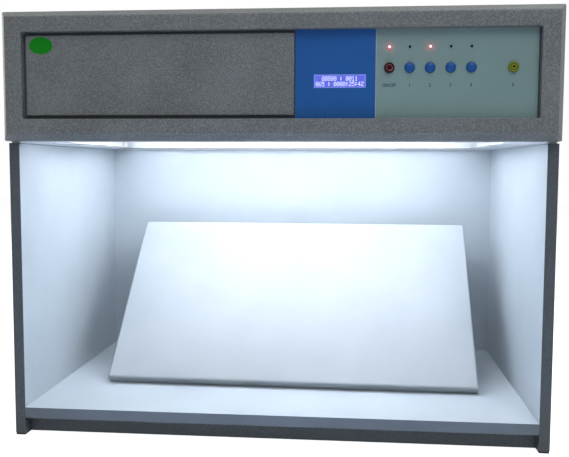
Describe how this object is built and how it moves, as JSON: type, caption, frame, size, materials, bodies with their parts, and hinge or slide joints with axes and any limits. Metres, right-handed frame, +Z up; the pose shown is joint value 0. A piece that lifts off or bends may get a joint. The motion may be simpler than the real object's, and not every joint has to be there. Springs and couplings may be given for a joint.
{
  "type": "colour assessment cabinet",
  "caption": "Tabletop light booth with an open viewing chamber, a lamp housing with push buttons and a display on top, and a loose sloping stand inside.",
  "frame": {"origin": "centre of the footprint, on the table under the foot strips", "axes": "+X to the right as seen from the front, +Y to the back, +Z up"},
  "size_m": [0.71, 0.449, 0.564],
  "materials": {
    "panel_paint": "dark grey textured paint on board",
    "chamber_paint": "matt neutral light grey paint on board",
    "rubber": "matt",
    "foam_grey": "grey cellular rubber",
    "zinc_steel": "zinc plated",
    "hammertone": "grey hammertone enamel on sheet steel",
    "plate_aluminium": "mill finish",
    "film_grey": "printed polycarbonate, fine texture",
    "film_blue": "printed polycarbonate, fine texture",
    "clear_window": "clear polycarbonate",
    "display_glow": "backlit blue liquid crystal display",
    "black_plastic": "moulded",
    "circuit_board": "solder resist",
    "led_lit": "lit red lens",
    "led_dark": "unlit dark red lens",
    "white_enamel": "white gloss enamel",
    "holder_plastic": "moulded white",
    "bulb_glass": "clear glass",
    "cap_aluminium": "satin",
    "brass": "plated contact",
    "button_red": "moulded dark red",
    "button_blue": "moulded blue",
    "button_yellow": "moulded yellow green",
    "tube_glass": "phosphor coated glass, lit",
    "stand_paint": "matt light grey paint"
  },
  "bodies": {
    "cabinet": {"left_side_panel": "panel_paint", "right_side_panel": "panel_paint", "front_plinth": "panel_paint", "back_panel": "chamber_paint", "floor_panel": "chamber_paint", "foot_strips": "rubber", "seal_strips": "foam_grey", "panel_screws": "zinc_steel", "header_screws": "zinc_steel", "control_chassis": "zinc_steel", "chassis_nuts": "zinc_steel", "standoffs": "zinc_steel", "header_base": "hammertone", "header_front_frame": "hammertone", "header_cover": "hammertone", "header_back_panel": "hammertone", "blank_panel": "hammertone", "control_plate": "plate_aluminium", "ballasts": "plate_aluminium", "control_overlay": "film_grey", "display_overlay": "film_blue", "lcd_window": "clear_window", "lcd_glass": "display_glow", "lcd_module": "black_plastic", "switch_housings": "black_plastic", "mains_inlet": "black_plastic", "control_board": "circuit_board", "relay_board": "circuit_board", "leds_on": "led_lit", "leds_off": "led_dark", "reflector": "white_enamel", "lamp_brackets": "white_enamel", "lampholders": "holder_plastic", "bulb_holders": "holder_plastic", "bulbs": "bulb_glass", "bulb_bases": "cap_aluminium", "inlet_pins": "brass"},
    "button_1_body": {"button_1": "button_red"},
    "button_2_body": {"button_2": "button_blue"},
    "button_3_body": {"button_3": "button_blue"},
    "button_4_body": {"button_4": "button_blue"},
    "button_5_body": {"button_5": "button_blue"},
    "button_6_body": {"button_6": "button_yellow"},
    "lamp_1": {"lamp_1_tube": "tube_glass", "lamp_1_caps": "cap_aluminium", "lamp_1_rotors": "holder_plastic"},
    "lamp_2": {"lamp_2_tube": "tube_glass", "lamp_2_caps": "cap_aluminium", "lamp_2_rotors": "holder_plastic"},
    "lamp_3": {"lamp_3_tube": "tube_glass", "lamp_3_caps": "cap_aluminium", "lamp_3_rotors": "holder_plastic"},
    "lamp_4": {"lamp_4_tube": "tube_glass", "lamp_4_caps": "cap_aluminium", "lamp_4_rotors": "holder_plastic"},
    "fuse_holder": {"fuse_drawer": "black_plastic", "fuse": "bulb_glass"},
    "stand": {"stand_board": "stand_paint", "stand_leg": "stand_paint"}
  },
  "joints": [
    {"name": "button_1_press", "type": "slide", "parent": "cabinet", "child": "button_1_body", "axis": [0, 1, 0], "range_m": [0, 0.0015], "stiffness_N_per_m": 400},
    {"name": "button_2_press", "type": "slide", "parent": "cabinet", "child": "button_2_body", "axis": [0, 1, 0], "range_m": [0, 0.0015], "stiffness_N_per_m": 400},
    {"name": "button_3_press", "type": "slide", "parent": "cabinet", "child": "button_3_body", "axis": [0, 1, 0], "range_m": [0, 0.0015], "stiffness_N_per_m": 400},
    {"name": "button_4_press", "type": "slide", "parent": "cabinet", "child": "button_4_body", "axis": [0, 1, 0], "range_m": [0, 0.0015], "stiffness_N_per_m": 400},
    {"name": "button_5_press", "type": "slide", "parent": "cabinet", "child": "button_5_body", "axis": [0, 1, 0], "range_m": [0, 0.0015], "stiffness_N_per_m": 400},
    {"name": "button_6_press", "type": "slide", "parent": "cabinet", "child": "button_6_body", "axis": [0, 1, 0], "range_m": [0, 0.0015], "stiffness_N_per_m": 400},
    {"name": "lamp_1_twist", "type": "hinge", "parent": "cabinet", "child": "lamp_1", "pos_m": [0, -0.012, 0.426], "axis": [1, 0, 0], "range_deg": [0, 90]},
    {"name": "lamp_2_twist", "type": "hinge", "parent": "cabinet", "child": "lamp_2", "pos_m": [0, 0.042, 0.426], "axis": [1, 0, 0], "range_deg": [0, 90]},
    {"name": "lamp_3_twist", "type": "hinge", "parent": "cabinet", "child": "lamp_3", "pos_m": [0, 0.096, 0.426], "axis": [1, 0, 0], "range_deg": [0, 90]},
    {"name": "lamp_4_twist", "type": "hinge", "parent": "cabinet", "child": "lamp_4", "pos_m": [0, 0.15, 0.426], "axis": [1, 0, 0], "range_deg": [0, 90]},
    {"name": "fuse_drawer_slide", "type": "slide", "parent": "cabinet", "child": "fuse_holder", "axis": [0, 1, 0], "range_m": [0, 0.024]},
    {"name": "stand_lift_out", "type": "slide", "parent": "cabinet", "child": "stand", "axis": [0, -1, 0], "range_m": [0, 0.36]}
  ]
}
